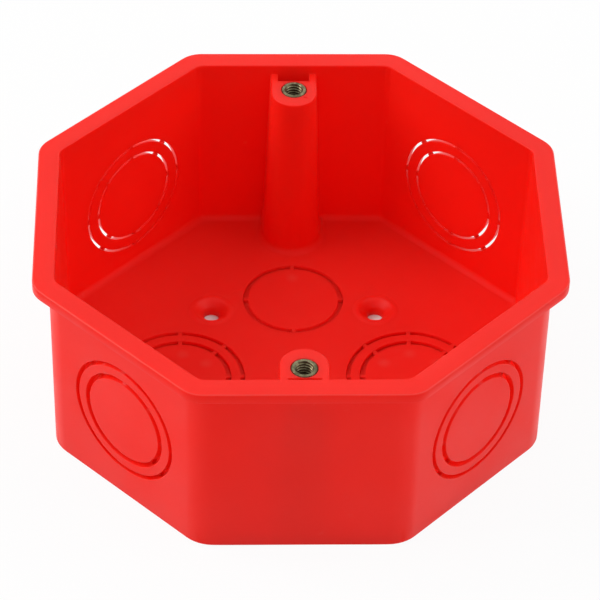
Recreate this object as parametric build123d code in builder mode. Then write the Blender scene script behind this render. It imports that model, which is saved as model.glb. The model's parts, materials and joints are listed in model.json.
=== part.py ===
"""Octagonal junction box: one moulded body, two brass cover-screw inserts and its knock-outs.

The origin is the middle of the underside. +Z is up, out of the open mouth, and +Y points to the
back. The posts for the cover screws stand on the front and back walls, and the four diagonal
walls carry double knock-outs.
"""
from build123d import *
import os
from math import radians, tan

os.makedirs("parts", exist_ok=True)

# Driving dimensions, in millimetres and degrees

# Body shell
body_width = 101.6  # across the flats, outside, at the mouth
box_height = 45.5
wall_thickness = 1.3  # at the mouth, and thicker below through the draft
floor_thickness = 3.0
outer_draft = 0.35
inner_draft = 1.1
body_corner_radius = 8.0
cavity_corner_radius = 2.5
foot_radius = 1.5  # along the floor, at the walls and the posts
base_chamfer = 0.5

# Rim around the mouth
rim_overhang = 3.2
rim_height = 2.6
rim_corner_radius = 6.0
rim_chamfer = 0.35
mouth_chamfer = 0.25

# Cover-screw posts
screw_inset = 5.5  # screw axis to the inner face of the wall, at the mouth
post_drop = 2.2  # post top below the rim
post_width = 9.8  # at the top
post_draft = 2.0
post_nose_reach = 5.7  # screw axis to the nose, at the top
post_back_reach = 3.0  # screw axis to the back of the boss
post_arm_thickness = 1.5
post_chamfer = 0.25
pocket_floor_height = 3.0  # bottom of the pocket behind the boss, above the floor

# Brass inserts
insert_diameter = 5.5
insert_length = 8.0
insert_bore = 3.4
insert_chamfer = 0.25
insert_clearance = 0.02
screw_relief_diameter = 4.2
screw_relief_depth = 14.0  # below the insert

# Knock-outs
small_hole_diameter = 21.8  # with the disc out
ring_width = 2.0
disc_slot_width = 1.1  # around a disc
ring_slot_width = 0.9  # around a ring
web_width = 0.9
web_thickness = 0.8
web_clearance = 0.05
floor_skin_thickness = 0.6  # closes the slots of the floor, under the webs
double_web_count = 8
single_web_count = 4
wall_knockout_height = 21.3  # centre above the underside
floor_double_x = 24.6
floor_double_y = -3.0
floor_single_y = 21.6

# Fixing holes in the floor
fixing_spacing = 35.6
fixing_y = 17.8
fixing_hole_diameter = 3.6
fixing_sink_diameter = 7.2  # at the top of the lip
fixing_sink_angle = 90.0
fixing_lip_height = 0.4  # above the floor
fixing_lip_top_diameter = 8.8
fixing_lip_foot_diameter = 10.4
fixing_lip_chamfer = 0.3

# Derived dimensions
cavity_width = body_width - 2 * wall_thickness
cavity_depth = box_height - floor_thickness
rim_width = body_width + 2 * rim_overhang
screw_y = cavity_width / 2 - screw_inset
post_top = box_height - post_drop
post_height = post_top - floor_thickness
post_grip = wall_thickness / 2  # how deep a post runs into the wall and the floor
insert_radius = insert_diameter / 2 - insert_clearance
fixing_lip_top = floor_thickness + fixing_lip_height
small_hole_radius = small_hole_diameter / 2
disc_radius = small_hole_radius - disc_slot_width
ring_radius = small_hole_radius + ring_width
large_hole_radius = ring_radius + ring_slot_width  # with the ring out too
lowest_wall_thickness = wall_thickness + cavity_depth * tan(radians(inner_draft))
cut_depth = 2 * max(floor_thickness, lowest_wall_thickness)


def octagon(width, corner_radius, height):
    """Octagon with flats on X and Y, round corners and its plane at the given height."""
    with BuildSketch(Plane.XY.offset(height)) as outline:
        RegularPolygon(width / 2, 8, major_radius=False, rotation=22.5)
        fillet(outline.vertices(), corner_radius)
    return outline.sketch


def cavity_stock(growth):
    """The space inside the body, larger by growth at its sides and its floor."""
    with BuildPart() as space:
        add(octagon(cavity_width + 2 * growth, cavity_corner_radius + growth, box_height))
        extrude(amount=-(cavity_depth + growth), taper=inner_draft)
    return space.part


# Body shell without its holes, which is also the material of the knock-outs
with BuildPart() as shell:
    add(octagon(body_width, body_corner_radius, box_height))
    extrude(amount=-box_height, taper=outer_draft)
    chamfer(shell.faces().sort_by(Axis.Z)[0].edges(), base_chamfer)
    add(cavity_stock(0), mode=Mode.SUBTRACT)

# Skin of that shell along its inner faces, where the break-out webs lie
with BuildPart() as web_skin:
    add(cavity_stock(web_thickness))
    add(cavity_stock(0), mode=Mode.SUBTRACT)

# Rim flange
with BuildPart() as rim:
    add(octagon(rim_width, rim_corner_radius, box_height))
    extrude(amount=-rim_height)
    chamfer(rim.edges().filter_by(Plane.XY), rim_chamfer)
    add(octagon(cavity_width, cavity_corner_radius, box_height))
    extrude(amount=-rim_height, taper=inner_draft, mode=Mode.SUBTRACT)

# Post on the back wall: a D-shaped boss with two arms that hold it off the wall
with BuildPart() as post:
    nose_centre_y = screw_y - post_nose_reach + post_width / 2
    boss_back_y = screw_y + post_back_reach
    with BuildSketch(Plane.XY.offset(post_top)):
        with Locations((0, nose_centre_y)):
            Circle(post_width / 2)
            Rectangle(
                post_width, rim_width / 2 - nose_centre_y, align=(Align.CENTER, Align.MIN)
            )
    extrude(amount=-(post_height + post_grip), taper=-post_draft)
    chamfer(post.faces().sort_by(Axis.Z)[-1].edges(), post_chamfer)
    with BuildSketch(Plane.XY.offset(post_top)):
        with Locations((0, boss_back_y)):
            Rectangle(
                post_width - 2 * post_arm_thickness,
                rim_width / 2 - boss_back_y,
                align=(Align.CENTER, Align.MIN),
            )
    extrude(amount=-(post_height - pocket_floor_height), mode=Mode.SUBTRACT)
    add(cavity_stock(post_grip), mode=Mode.INTERSECT)


# Knock-outs: name, plane on the outer face looking out, and whether a ring lies around the disc
wall_angles = {"front_left": 225, "front_right": 315, "back_left": 135, "back_right": 45}
floor_places = {
    "floor_left": (-floor_double_x, floor_double_y, True),
    "floor_right": (floor_double_x, floor_double_y, True),
    "floor_back": (0, floor_single_y, False),
    "floor_front": (0, -floor_single_y, False),
}
knockouts = []
for side, angle in wall_angles.items():
    outward = Vector(1, 0, 0).rotate(Axis.Z, angle)
    centre = outward * (body_width / 2) + Vector(0, 0, wall_knockout_height)
    plane = Plane(centre, x_dir=(0, 0, 1), z_dir=outward)
    knockouts.append((side, plane, True))
for side, (x, y, is_double) in floor_places.items():
    plane = Plane((x, y, 0), x_dir=(0, 1, 0), z_dir=(0, 0, -1))
    knockouts.append((side, plane, is_double))


def knockout_piece(label, plane, radius, bore_radius, hole_radius, web_count, is_in_floor):
    """Round slug, solid or with a bore, whose webs reach the hole around it, with a skin in the floor."""
    slot_width = hole_radius - radius
    reach = hole_radius - web_clearance
    with BuildPart() as webs:
        with BuildSketch(plane):
            with PolarLocations(hole_radius - slot_width / 2, web_count):
                Rectangle(2 * slot_width, web_width)
            Circle(reach, mode=Mode.INTERSECT)
            if bore_radius:
                Circle(bore_radius, mode=Mode.SUBTRACT)
        extrude(amount=-cut_depth)
        add(web_skin.part, mode=Mode.INTERSECT)
    with BuildPart() as piece:
        with BuildSketch(plane):
            Circle(radius)
            if bore_radius:
                Circle(bore_radius, mode=Mode.SUBTRACT)
        extrude(amount=-cut_depth)
        add(shell.part, mode=Mode.INTERSECT)
        add(webs.part)
        if is_in_floor:
            with BuildSketch(plane.offset(web_thickness - floor_thickness)):
                Circle(reach)
                Circle(radius, mode=Mode.SUBTRACT)
            extrude(amount=floor_skin_thickness)
    piece.part.label = label
    export_step(piece.part, f"parts/{label}.step")


for side, plane, is_double in knockouts:
    is_in_floor = side in floor_places
    if is_double:
        knockout_piece(
            f"knockout_ring_{side}", plane, ring_radius, small_hole_radius, large_hole_radius,
            double_web_count, is_in_floor,
        )
    disc_webs = double_web_count if is_double else single_web_count
    knockout_piece(
        f"knockout_disc_{side}", plane, disc_radius, 0, small_hole_radius, disc_webs, is_in_floor
    )


# Moulded body
with BuildPart() as box_body:
    add(shell.part)
    add(rim.part)
    add(post.part)
    mirror(post.part, about=Plane.XZ)
    foot = box_body.edges().filter_by_position(Axis.Z, floor_thickness, floor_thickness)
    fillet(foot, foot_radius)
    mouth = box_body.faces().sort_by(Axis.Z)[-1].inner_wires()[0]
    chamfer(mouth.edges(), mouth_chamfer)
    with Locations(Plane.XY.offset(post_top)):
        with GridLocations(0, 2 * screw_y, 1, 2):
            CounterBoreHole(
                screw_relief_diameter / 2,
                insert_diameter / 2,
                insert_length,
                insert_length + screw_relief_depth,
            )
    with Locations((0, fixing_y, fixing_lip_top)):
        with GridLocations(fixing_spacing, 0, 2, 1):
            Cone(
                fixing_lip_foot_diameter / 2,
                fixing_lip_top_diameter / 2,
                fixing_lip_height,
                align=(Align.CENTER, Align.CENTER, Align.MAX),
            )
            CounterSinkHole(
                fixing_hole_diameter / 2,
                fixing_sink_diameter / 2,
                fixing_lip_top,
                fixing_sink_angle,
            )
    lip_edges = box_body.edges().filter_by_position(Axis.Z, fixing_lip_top, fixing_lip_top)
    chamfer(lip_edges, fixing_lip_chamfer)
    for side, plane, is_double in knockouts:
        with BuildSketch(plane):
            Circle(large_hole_radius if is_double else small_hole_radius)
        extrude(amount=-cut_depth, mode=Mode.SUBTRACT)
box_body.part.label = "box_body"
export_step(box_body.part, "parts/box_body.step")

# Brass insert
with BuildPart() as insert:
    Cylinder(insert_radius, insert_length, align=(Align.CENTER, Align.CENTER, Align.MAX))
    Hole(insert_bore / 2)
    chamfer(insert.faces().filter_by(Axis.Z).edges(), insert_chamfer)

for side, y in (("back", screw_y), ("front", -screw_y)):
    with BuildPart() as seated_insert:
        with Locations((0, y, post_top)):
            add(insert.part)
    seated_insert.part.label = f"insert_{side}"
    export_step(seated_insert.part, f"parts/insert_{side}.step")
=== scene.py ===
"""Studio scene of an octagonal moulded junction box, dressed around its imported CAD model."""
import bmesh
import bpy
import json
from math import cos, pi, radians, sin, sqrt, tau
from mathutils import Matrix, Vector


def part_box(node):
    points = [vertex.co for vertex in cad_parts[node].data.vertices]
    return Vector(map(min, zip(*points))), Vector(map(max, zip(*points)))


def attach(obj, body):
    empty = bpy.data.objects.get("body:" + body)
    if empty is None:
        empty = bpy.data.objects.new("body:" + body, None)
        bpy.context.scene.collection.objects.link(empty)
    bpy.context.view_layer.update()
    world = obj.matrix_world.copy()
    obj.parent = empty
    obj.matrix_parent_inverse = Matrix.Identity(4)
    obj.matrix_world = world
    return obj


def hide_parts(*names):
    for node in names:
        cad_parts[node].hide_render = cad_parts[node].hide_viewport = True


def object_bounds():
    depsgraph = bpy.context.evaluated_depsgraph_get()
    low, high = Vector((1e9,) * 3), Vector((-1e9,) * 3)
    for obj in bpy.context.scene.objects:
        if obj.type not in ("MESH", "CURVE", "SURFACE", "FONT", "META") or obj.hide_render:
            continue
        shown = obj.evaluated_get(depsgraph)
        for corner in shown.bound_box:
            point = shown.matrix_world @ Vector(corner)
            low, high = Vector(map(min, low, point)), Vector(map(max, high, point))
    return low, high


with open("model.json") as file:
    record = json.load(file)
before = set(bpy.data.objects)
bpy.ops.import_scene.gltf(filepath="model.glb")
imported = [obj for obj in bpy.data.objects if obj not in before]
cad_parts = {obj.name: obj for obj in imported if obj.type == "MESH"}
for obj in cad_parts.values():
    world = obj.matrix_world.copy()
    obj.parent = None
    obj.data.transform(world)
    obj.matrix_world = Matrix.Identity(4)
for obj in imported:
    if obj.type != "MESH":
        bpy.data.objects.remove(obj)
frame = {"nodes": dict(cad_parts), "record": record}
cad_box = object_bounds()

MM = 0.001

# Camera
view_azimuth = radians(-2.412)
view_elevation = radians(41.68)
view_roll = radians(1.514)
view_distance = 0.7028
view_target = Vector((0.0006, -0.0006, 0.0224))
view_lens = 201.4

# Light
fill_behind = 0.77  # strength of the soft fill that comes from behind the object
fill_in_front = 0.48
lamp_size = 0.9
left_lamp_place = (-1.06, 0.12, 0.81)
left_lamp_power = 9.2
right_lamp_place = (1.06, -0.1, 0.81)
right_lamp_power = 4.3

# White floor, which glows where it is seen
floor_half_width = 3.0
paper_white = 0.9
glow_share = 0.93
glow_start = cad_box[1].x - 18 * MM  # from the axis, and no glow nearer, under the object
glow_full = cad_box[1].x - 6 * MM  # and full glow from there on

# Rounded edges of the mouldings
edge_radius = 0.12 * MM
edge_steps = 2
broad_face = 6 * MM * MM  # its sharp edges are rounded
sharp_angle = radians(60)  # gentler edges, such as the CAD chamfers, are shaded smooth instead
flat_angle = radians(0.5)  # between facets of one flat face
merge_distance = 0.001 * MM

# Slots of the wall knock-outs, which narrow from the outside in
small_hole_radius = 10.9 * MM
disc_slot_width = 1.1 * MM
ring_width = 2.0 * MM
ring_slot_width = 0.9 * MM
slot_gap = 0.5 * MM  # left open between the thin lips on the inside
slot_wall_tolerance = 0.075 * MM  # over the clearance at the ends of the webs
lip_depth = 1.5 * MM  # inwards from the middle of a knock-out, past the inner face of its wall
web_top_depth = 0.9 * MM  # outwards, past its webs but short of its outer face
web_top_share = 0.5  # part of the narrowing that the outer side of the webs gets
wall_sides = ("front_left", "front_right", "back_left", "back_right")

# Red plastic
pigment_dark = (0.87, 0.0125, 0.0060)
pigment_light = (0.94, 0.0165, 0.0080)
pale_red_of_scuffs_and_painted_light = (0.9, 0.30, 0.26)  # of scuffs, and of the painted reflections on the floor knock-outs and the painted highlight along the rim's outer edge
scuff_strength = 0.10
scuff_roughness = 0.04
satin_roughness = (0.34, 0.44)
subsurface_reach = (1.0, 0.1, 0.06)
subsurface_scale = 1.5 * MM
grain_height = 0.004 * MM
wave_height = 0.10 * MM

# Floor and the corner round it, which are duller than the walls
dull_height = 3.0 * MM  # top of the floor
satin_height = 4.8 * MM
floor_dulling = 0.35
wall_middle = 49.9 * MM  # from the axis to inside the thickness of the walls, near their foot
wall_blend = 0.3 * MM  # either side of that

# Painted highlight: a thin pale line along the outer edge of the rim
rim_highlight_drop = 0.2 * MM  # below the top of the rim
rim_highlight_reach = 0.16 * MM  # up and down from there
rim_highlight_inner = 52.0 * MM  # from the axis, between the rim's inner and outer edges
rim_highlight_blend = 0.2 * MM
rim_highlight_strength = 0.22

# Fixing holes, whose countersinks are glossier
polish_inner = 3.7 * MM  # from a hole's axis
polish_outer = 4.8 * MM
polish_strength = 0.28

# Painted reflections: pale soft spots on the floor knock-outs
reflection_spot_reach = 6.8 * MM  # from the knock-out's centre
reflection_spot_radius = 1.7 * MM
reflection_spot_core = 0.2  # share of that radius at full strength
reflection_spot_strength = 0.08
reflection_spot_angles = {"left": (35, 85, 145), "right": (35, 90, 145), "back": (90,), "front": (90,)}

# Brass inserts
thread_pitch = 0.7 * MM
thread_depth = 0.36 * MM
thread_minor_radius = 1.64 * MM
thread_lead = 0.3 * MM  # chamfer at both ends of the thread
thread_flank = 1.25  # over 1, so that the bottom of the groove is flat
knurl_teeth = 30
knurl_depth = 0.11 * MM
knurl_chamfer = 0.2 * MM
steps_per_tooth = 4
steps_per_pitch = 10
insert_sharp_angle = radians(35)

# Brass, with painted shade in the thread's grooves, down the bore and at the rim
brass_bright = (0.30, 0.27, 0.16)
brass_tarnished = (0.10, 0.10, 0.05)
# Painted shade in the grooves of the thread, a dark red-brown
groove_shade_colour = (0.025, 0.006, 0.003)
groove_shade_strength = 0.95
groove_shade_reach = (0.06 * MM, 0.2 * MM)  # outwards from the crest of the thread
unshaded_face = (0.1 * MM, 0.3 * MM)  # below the top, where the painted shade in the grooves starts
bore_shadow = (0.012, 0.005, 0.003)
bore_shadow_strength = 0.8
bore_shadow_depth = (0.6 * MM, 3.5 * MM)  # below the top
rim_shadow_strength = 0.9
rim_shadow_reach = (2.5 * MM, 2.7 * MM)  # from the axis of an insert
brass_roughness = (0.20, 0.40)
turning_height = 0.01 * MM


def link(obj):
    bpy.context.scene.collection.objects.link(obj)
    return obj


def mesh_object(name, mesh, material, body, slot, *replaced):
    """A piece that rides on a CAD body, in the place of some of its nodes."""
    mesh.materials.append(material)
    obj = link(bpy.data.objects.new(name, mesh))
    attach(obj, body)
    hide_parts(*replaced)
    return obj


# Studio

def view_direction():
    """From the object towards the camera."""
    flat = cos(view_elevation)
    return Vector((sin(view_azimuth) * flat, -cos(view_azimuth) * flat, sin(view_elevation)))


def make_camera():
    data = bpy.data.cameras.new("camera")
    data.lens = view_lens
    data.sensor_width = 36.0
    data.clip_start = 0.01
    data.clip_end = 20.0
    camera = link(bpy.data.objects.new("camera", data))
    place = Matrix.Translation(view_target + view_direction() * view_distance)
    turn = Matrix.Rotation(view_azimuth, 4, "Z") @ Matrix.Rotation(pi / 2 - view_elevation, 4, "X")
    camera.matrix_world = place @ turn @ Matrix.Rotation(view_roll, 4, "Z")
    bpy.context.scene.camera = camera


def softbox(name, place, power):
    """Square area light that faces the object."""
    data = bpy.data.lights.new(name, "AREA")
    data.shape = "SQUARE"
    data.size = lamp_size
    data.energy = power
    lamp = link(bpy.data.objects.new(name, data))
    lamp.location = place
    lamp.rotation_euler = Vector(place).to_track_quat("Z", "Y").to_euler()


def seen_directly(nodes, links):
    """1 for camera, glossy and transmission rays, and 0 for the others."""
    path = nodes.new("ShaderNodeLightPath")
    total = path.outputs["Is Camera Ray"]
    for ray in ("Is Glossy Ray", "Is Transmission Ray"):
        larger = nodes.new("ShaderNodeMath")
        larger.operation = "MAXIMUM"
        links.new(total, larger.inputs[0])
        links.new(path.outputs[ray], larger.inputs[1])
        total = larger.outputs["Value"]
    return total


def make_world():
    """White surround to look at, with a soft fill light that is weaker from the camera's side."""
    world = bpy.data.worlds.new("studio")
    bpy.context.scene.world = world
    world.use_nodes = True
    nodes, links = world.node_tree.nodes, world.node_tree.links
    nodes.clear()
    output = nodes.new("ShaderNodeOutputWorld")
    surround = nodes.new("ShaderNodeBackground")
    surround.inputs["Color"].default_value = (1.0, 1.0, 1.0, 1.0)
    direction = nodes.new("ShaderNodeSeparateXYZ")
    links.new(nodes.new("ShaderNodeTexCoord").outputs["Generated"], direction.inputs["Vector"])
    fill = nodes.new("ShaderNodeMapRange")
    fill.inputs["From Min"].default_value = -1.0
    fill.inputs["From Max"].default_value = 1.0
    fill.inputs["To Min"].default_value = fill_in_front
    fill.inputs["To Max"].default_value = fill_behind
    links.new(direction.outputs["Y"], fill.inputs["Value"])
    strength = nodes.new("ShaderNodeMath")
    strength.operation = "MAXIMUM"
    links.new(fill.outputs["Result"], strength.inputs[0])
    links.new(seen_directly(nodes, links), strength.inputs[1])
    links.new(strength.outputs["Value"], surround.inputs["Strength"])
    links.new(surround.outputs["Background"], output.inputs["Surface"])


def make_floor():
    """White ground that glows where it is seen, but not under the object, and takes its shadow."""
    half = floor_half_width
    mesh = bpy.data.meshes.new("floor")
    corners = [(-half, -half, 0), (half, -half, 0), (half, half, 0), (-half, half, 0)]
    mesh.from_pydata(corners, [], [(0, 1, 2, 3)])
    floor = link(bpy.data.objects.new("floor", mesh))
    material = bpy.data.materials.new("floor_white")
    material.use_nodes = True
    nodes, links = material.node_tree.nodes, material.node_tree.links
    nodes.clear()
    output = nodes.new("ShaderNodeOutputMaterial")
    paper = nodes.new("ShaderNodeBsdfDiffuse")
    paper.inputs["Color"].default_value = (paper_white, paper_white, paper_white, 1.0)
    glow = nodes.new("ShaderNodeEmission")
    glow.inputs["Strength"].default_value = 1.0
    mix = nodes.new("ShaderNodeMixShader")
    reach = nodes.new("ShaderNodeVectorMath")
    reach.operation = "LENGTH"
    links.new(nodes.new("ShaderNodeTexCoord").outputs["Object"], reach.inputs[0])
    open_share = nodes.new("ShaderNodeMapRange")
    open_share.inputs["From Min"].default_value = glow_start
    open_share.inputs["From Max"].default_value = glow_full
    open_share.inputs["To Max"].default_value = glow_share
    links.new(reach.outputs["Value"], open_share.inputs["Value"])
    share = nodes.new("ShaderNodeMath")
    share.operation = "MULTIPLY"
    links.new(seen_directly(nodes, links), share.inputs[0])
    links.new(open_share.outputs["Result"], share.inputs[1])
    links.new(share.outputs["Value"], mix.inputs["Fac"])
    links.new(paper.outputs["BSDF"], mix.inputs[1])
    links.new(glow.outputs["Emission"], mix.inputs[2])
    links.new(mix.outputs["Shader"], output.inputs["Surface"])
    mesh.materials.append(material)


# Materials

class Shade:
    """A new material's node tree, with short helpers for its nodes.

    Coordinates are the object's, in metres.
    """

    def __init__(self, name):
        self.material = bpy.data.materials.new(name)
        self.material.use_nodes = True
        self.nodes = self.material.node_tree.nodes
        self.links = self.material.node_tree.links
        self.surface = self.nodes["Principled BSDF"]
        self.place = self.nodes.new("ShaderNodeTexCoord").outputs["Object"]

    def noise(self, scale, detail=2.0, roughness=0.5, stretch=None):
        """Noise, drawn out along one direction by stretch, the scale along each axis."""
        node = self.nodes.new("ShaderNodeTexNoise")
        node.inputs["Scale"].default_value = scale
        node.inputs["Detail"].default_value = detail
        node.inputs["Roughness"].default_value = roughness
        place = self.place
        if stretch:
            mapping = self.nodes.new("ShaderNodeMapping")
            mapping.inputs["Scale"].default_value = stretch
            mapping.inputs["Rotation"].default_value = (0.4, 0.3, 0.7)
            self.links.new(place, mapping.inputs["Vector"])
            place = mapping.outputs["Vector"]
        self.links.new(place, node.inputs["Vector"])
        return node.outputs["Fac"]

    def spread(self, value, low, high, to_low, to_high):
        """value from low to high mapped onto to_low to to_high, and held there beyond."""
        node = self.nodes.new("ShaderNodeMapRange")
        node.inputs["From Min"].default_value = low
        node.inputs["From Max"].default_value = high
        node.inputs["To Min"].default_value = to_low
        node.inputs["To Max"].default_value = to_high
        self.links.new(value, node.inputs["Value"])
        return node.outputs["Result"]

    def combine(self, operation, first, second=0.0):
        """Result of a math node, whose inputs are numbers or other nodes' outputs."""
        node = self.nodes.new("ShaderNodeMath")
        node.operation = operation
        for socket, value in zip(node.inputs, (first, second)):
            if isinstance(value, float):
                socket.default_value = value
            else:
                self.links.new(value, socket)
        return node.outputs["Value"]

    def axes(self):
        node = self.nodes.new("ShaderNodeSeparateXYZ")
        self.links.new(self.place, node.inputs["Vector"])
        return node.outputs

    def distance(self, point):
        node = self.nodes.new("ShaderNodeVectorMath")
        node.operation = "DISTANCE"
        self.links.new(self.place, node.inputs[0])
        node.inputs[1].default_value = point
        return node.outputs["Value"]

    def length(self, x, y):
        """Length of a flat vector."""
        squares = self.combine("ADD", self.combine("POWER", x, 2.0), self.combine("POWER", y, 2.0))
        return self.combine("SQRT", squares)

    def reach_from_insert(self, insert_y):
        """Distance from the upright axis of the nearer insert."""
        axes = self.axes()
        y = self.combine("SUBTRACT", self.combine("ABSOLUTE", axes["Y"]), insert_y)
        return self.length(axes["X"], y)

    def reach_from_fixing_hole(self):
        """Distance from the upright axis of the nearer fixing hole in the floor."""
        holes = next(mount for mount in frame["record"]["mounts"] if mount["name"] == "fixing_holes")
        axes = self.axes()
        half_spacing = holes["dims"]["spacing_x_mm"] / 2 * MM
        x = self.combine("SUBTRACT", self.combine("ABSOLUTE", axes["X"]), half_spacing)
        y = self.combine("SUBTRACT", axes["Y"], holes["pos_m"][1])
        return self.length(x, y)

    def octagon(self):
        """Distance from the box's upright axis, measured square to the nearest wall."""
        axes = self.axes()
        x = self.combine("ABSOLUTE", axes["X"])
        y = self.combine("ABSOLUTE", axes["Y"])
        slanted = self.combine("MULTIPLY", self.combine("ADD", x, y), sqrt(0.5))
        return self.combine("MAXIMUM", self.combine("MAXIMUM", x, y), slanted)

    def blend(self, share, first, second):
        """Colour between two, by a share from 0 to 1."""
        node = self.nodes.new("ShaderNodeMix")
        node.data_type = "RGBA"
        self.links.new(share, node.inputs["Factor"])
        for place, colour in ((6, first), (7, second)):  # the node's two colour inputs
            if isinstance(colour, tuple):
                node.inputs[place].default_value = (*colour, 1.0)
            else:
                self.links.new(colour, node.inputs[place])
        return node.outputs[2]

    def bump(self, height, distance, strength, below=None):
        node = self.nodes.new("ShaderNodeBump")
        node.inputs["Distance"].default_value = distance
        node.inputs["Strength"].default_value = strength
        self.links.new(height, node.inputs["Height"])
        if below:
            self.links.new(below, node.inputs["Normal"])
        return node.outputs["Normal"]

    def to(self, label, value):
        """Give one of the surface's inputs a constant or another node's output."""
        if isinstance(value, (float, tuple)):
            self.surface.inputs[label].default_value = value
        else:
            self.links.new(value, self.surface.inputs[label])


def painted_reflection_spots(shade):
    """Strength of the painted reflections: pale soft spots on the floor knock-outs."""
    marks = 0.0
    core = reflection_spot_core * reflection_spot_radius
    for place, angles in reflection_spot_angles.items():
        low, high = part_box("knockout_disc_floor_" + place)
        centre = (low + high) / 2
        for angle in angles:
            turn = radians(angle)
            reflection_spot_centre = Vector((centre.x + reflection_spot_reach * cos(turn), centre.y + reflection_spot_reach * sin(turn), high.z))
            mark = shade.spread(shade.distance(reflection_spot_centre), core, reflection_spot_radius, reflection_spot_strength, 0.0)
            marks = shade.combine("MAXIMUM", marks, mark)
    return marks


def painted_rim_highlight(shade):
    """Strength of the painted highlight: a pale line along the outer edge of the rim."""
    middle = cad_box[1].z - rim_highlight_drop
    away = shade.combine("ABSOLUTE", shade.combine("SUBTRACT", shade.axes()["Z"], middle))
    line = shade.spread(away, 0.0, rim_highlight_reach, rim_highlight_strength, 0.0)
    outside = shade.spread(
        shade.octagon(), rim_highlight_inner, rim_highlight_inner + rim_highlight_blend, 0.0, 1.0
    )
    return shade.combine("MULTIPLY", line, outside)


def scuff_marks(shade):
    """Short fine scratches that lie in patches, from 0 to 1."""
    scratches = shade.spread(shade.noise(260.0, 4.0, 0.6, (1.0, 0.06, 1.0)), 0.66, 0.74, 0.0, 1.0)
    patches = shade.spread(shade.noise(34.0, 2.0), 0.56, 0.68, 0.0, 1.0)
    return shade.combine("MULTIPLY", scratches, patches)


def plastic_roughness(shade, scuffs):
    """Satin, rougher at scuffs, on the floor and in the corner round it, and smoother in countersinks."""
    satin = shade.spread(shade.noise(90.0, 4.0, 0.6), 0.3, 0.7, *satin_roughness)
    countersinks = shade.spread(
        shade.reach_from_fixing_hole(), polish_inner, polish_outer, polish_strength, 0.0
    )
    satin = shade.combine("SUBTRACT", satin, countersinks)
    uneven = shade.combine("ADD", satin, shade.combine("MULTIPLY", scuffs, scuff_roughness))
    low = shade.spread(shade.axes()["Z"], dull_height, satin_height, floor_dulling, 0.0)
    inside = shade.spread(
        shade.octagon(), wall_middle - wall_blend, wall_middle + wall_blend, 1.0, 0.0
    )
    return shade.combine("ADD", uneven, shade.combine("MULTIPLY", low, inside))


def red_plastic():
    """Satin moulded plastic: cloudy pigment, fine grain, gentle waves, faint pale scuffs, faint painted
    reflections on the floor knock-outs and a painted highlight along the rim.
    """
    shade = Shade("red_plastic")
    clouds = shade.spread(shade.noise(28.0, 3.0), 0.3, 0.7, 0.0, 1.0)
    pigment = shade.blend(clouds, pigment_dark, pigment_light)
    scuffs = scuff_marks(shade)
    scuffs_and_painted_highlights = shade.combine("MULTIPLY", scuffs, scuff_strength)
    # Painted reflections on the floor knock-outs and a painted highlight along the rim are mixed into the
    # pale of the scuffs
    scuffs_and_painted_highlights = shade.combine("MAXIMUM", scuffs_and_painted_highlights, painted_reflection_spots(shade))
    scuffs_and_painted_highlights = shade.combine("MAXIMUM", scuffs_and_painted_highlights, painted_rim_highlight(shade))
    shade.to("Base Color", shade.blend(scuffs_and_painted_highlights, pigment, pale_red_of_scuffs_and_painted_light))
    shade.to("Roughness", plastic_roughness(shade, scuffs))
    shade.to("IOR", 1.5)
    shade.to("Subsurface Weight", 1.0)
    shade.to("Subsurface Radius", subsurface_reach)
    shade.to("Subsurface Scale", subsurface_scale)
    shade.to("Specular IOR Level", 0.24)
    grain = shade.bump(shade.noise(5200.0, 2.0), grain_height, 0.5)
    shade.to("Normal", shade.bump(shade.noise(55.0, 1.0), wave_height, 0.5, grain))
    return shade.material


def brass():
    """Turned brass, tarnished, with painted shade in the thread's grooves, down the bore and at the rim.
    """
    shade = Shade("brass")
    low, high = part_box("insert_back")
    height = shade.axes()["Z"]
    reach = shade.reach_from_insert((low.y + high.y) / 2)
    tarnish = shade.spread(shade.noise(1100.0, 4.0, 0.6), 0.35, 0.65, 0.0, 1.0)
    metal = shade.blend(tarnish, brass_bright, brass_tarnished)
    # Painted shade in the thread's grooves, starting a little below the face
    start, full = unshaded_face
    below_face = shade.spread(height, high.z - full, high.z - start, 1.0, 0.0)
    start, full = groove_shade_reach
    grooves = shade.spread(
        reach, thread_minor_radius + start, thread_minor_radius + full, 0.0, groove_shade_strength
    )
    metal_with_groove_shade = shade.blend(shade.combine("MULTIPLY", grooves, below_face), metal, groove_shade_colour)
    start, full = bore_shadow_depth
    bore = shade.spread(height, high.z - full, high.z - start, bore_shadow_strength, 0.0)
    rim = shade.spread(reach, *rim_shadow_reach, 0.0, rim_shadow_strength)
    shade.to("Base Color", shade.blend(shade.combine("MAXIMUM", bore, rim), metal_with_groove_shade, bore_shadow))
    shade.to("Metallic", 1.0)
    shade.to("Roughness", shade.spread(tarnish, 0.0, 1.0, *brass_roughness))
    turning = shade.noise(3000.0, 3.0, 0.6, (1.0, 1.0, 8.0))
    shade.to("Normal", shade.bump(turning, turning_height, 0.6))
    return shade.material


# Mouldings

def slot_walls():
    """(radius, shift away from the centre at the inner face) of each round wall of the slots."""
    disc_lip = (disc_slot_width - slot_gap) / 2
    ring_lip = (ring_slot_width - slot_gap) / 2
    ring_radius = small_hole_radius + ring_width
    return [
        (small_hole_radius - disc_slot_width, disc_lip),
        (small_hole_radius, -disc_lip),
        (ring_radius, ring_lip),
        (ring_radius + ring_slot_width, -ring_lip),
    ]


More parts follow.
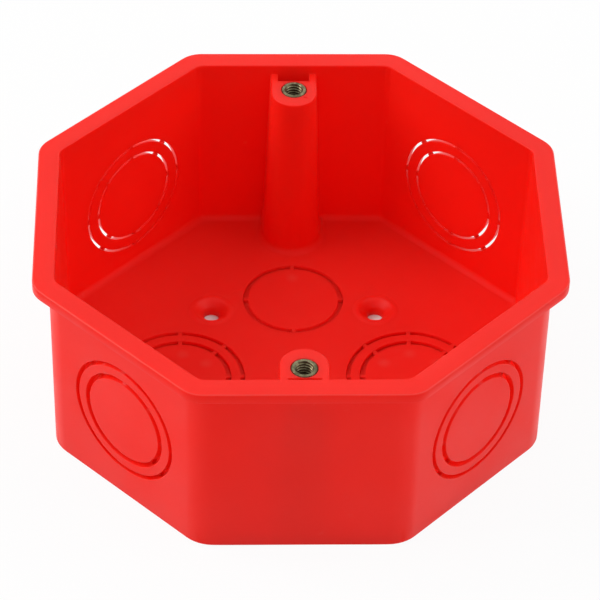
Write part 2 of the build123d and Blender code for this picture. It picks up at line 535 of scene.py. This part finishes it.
def narrow_slots(work, side):
    """Taper the slots of a wall knock-out, so that they are narrow at the inner face of the wall."""
    low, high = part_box("knockout_disc_" + side)
    centre = (low + high) / 2
    outward = Vector((centre.x, centre.y, 0)).normalized()
    for vertex in work.verts:
        offset = vertex.co - centre
        depth = offset.dot(outward)
        if not -lip_depth < depth < web_top_depth:
            continue
        spoke = offset - depth * outward
        # A vertex of the wall's inner face touches a face that looks into the box
        is_inside = any(face.normal.dot(outward) < -0.9 for face in vertex.link_faces)
        for radius, shift in slot_walls():
            if abs(spoke.length - radius) < slot_wall_tolerance:
                vertex.co += spoke.normalized() * shift * (1.0 if is_inside else web_top_share)


def is_rounded(edge):
    """True for a sharp edge of a broad face."""
    if not edge.is_manifold or edge.calc_face_angle() < sharp_angle:
        return False
    return max(face.calc_area() for face in edge.link_faces) > broad_face


def moulded(name, node, material, body):
    """Copy of a CAD node with narrowed slots, rounded edges and smooth shading."""
    mesh = frame["nodes"][node].data.copy()
    mesh.name = name
    mesh.materials.clear()
    work = bmesh.new()
    work.from_mesh(mesh)
    bmesh.ops.remove_doubles(work, verts=work.verts, dist=merge_distance)
    bmesh.ops.dissolve_limit(
        work, angle_limit=flat_angle, use_dissolve_boundaries=False, verts=work.verts, edges=work.edges
    )
    for face in work.faces:
        face.smooth = True
    work.normal_update()
    for side in wall_sides:
        if node == "box_body" or node.endswith(side):
            narrow_slots(work, side)
    work.normal_update()
    rounding = work.edges.layers.float.new("bevel_weight_edge")
    for edge in work.edges:
        if is_rounded(edge):
            edge[rounding] = 1.0
    work.to_mesh(mesh)
    work.free()
    obj = mesh_object(name, mesh, material, body, "body_plastic", node)
    bevel = obj.modifiers.new("round_edges", "BEVEL")
    bevel.width = edge_radius
    bevel.segments = edge_steps
    bevel.limit_method = "WEIGHT"
    bevel.use_clamp_overlap = False
    normals = obj.modifiers.new("flat_faces", "WEIGHTED_NORMAL")
    normals.mode = "FACE_AREA"
    normals.weight = 50


# Inserts

def grid_faces(rows, columns):
    """Quads between rows of points that close round."""
    faces = []
    for row in range(rows - 1):
        for column in range(columns):
            here = row * columns + column
            beside = row * columns + (column + 1) % columns
            faces.append((here, beside, beside + columns, here + columns))
    return faces


def insert_profile(length, outer_radius):
    """Rows of points down the outside and up the bore.

    Each row is its height below the top, and its radius as a function of the angle.
    """
    def outside(inset):
        def radius(angle):
            tooth = abs((angle * knurl_teeth / tau) % 1.0 - 0.5) * 2
            return outer_radius - max(inset, knurl_depth * tooth)
        return radius

    def thread(depth):
        end = max(0.0, thread_lead - min(depth, length - depth))

        def radius(angle):
            turn = (depth / thread_pitch + angle / tau) % 1.0
            cut = thread_depth * min(1.0, thread_flank * (1.0 - abs(2 * turn - 1.0)))
            return thread_minor_radius + max(cut, end)
        return radius

    rows = [(0.0, outside(knurl_chamfer)), (knurl_chamfer, outside(0.0))]
    rows += [(length - knurl_chamfer, outside(0.0)), (length, outside(knurl_chamfer))]
    count = round(length / thread_pitch * steps_per_pitch)
    for step in range(count + 1):
        depth = length * (1 - step / count)
        rows.append((depth, thread(depth)))
    return rows


def threaded_insert(node, material):
    """Knurled brass insert with a real M4 thread."""
    low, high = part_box(node)
    centre = (low + high) / 2
    rows = insert_profile(high.z - low.z, (high.x - low.x) / 2)
    columns = knurl_teeth * steps_per_tooth
    points = []
    for depth, radius in rows:
        for step in range(columns):
            angle = tau * step / columns
            reach = radius(angle)
            x = centre.x + reach * cos(angle)
            y = centre.y + reach * sin(angle)
            points.append((x, y, high.z - depth))
    faces = grid_faces(len(rows), columns)
    last = (len(rows) - 1) * columns
    faces += [(last + b, last + (b + 1) % columns, (b + 1) % columns, b) for b in range(columns)]
    mesh = bpy.data.meshes.new("threaded_" + node)
    mesh.from_pydata(points, [], faces)
    work = bmesh.new()
    work.from_mesh(mesh)
    bmesh.ops.recalc_face_normals(work, faces=work.faces)
    work.to_mesh(mesh)
    work.free()
    mesh.shade_smooth()
    mesh.set_sharp_from_angle(angle=insert_sharp_angle)
    mesh_object("threaded_" + node, mesh, material, "box", "insert_brass", node)


make_camera()
make_world()
make_floor()
softbox("left_softbox", left_lamp_place, left_lamp_power)
softbox("right_softbox", right_lamp_place, right_lamp_power)

plastic = red_plastic()
metal = brass()
moulded("moulded_body", "box_body", plastic, "box")
for body, nodes in frame["record"]["behaviour"]["bodies"].items():
    if body.startswith(("ring_", "disc_")):
        moulded(body + "_moulding", nodes[0], plastic, body)
for side in ("front", "back"):
    threaded_insert("insert_" + side, metal)

scene = bpy.context.scene
scene.view_settings.view_transform = "Standard"
bpy.context.view_layer.update()
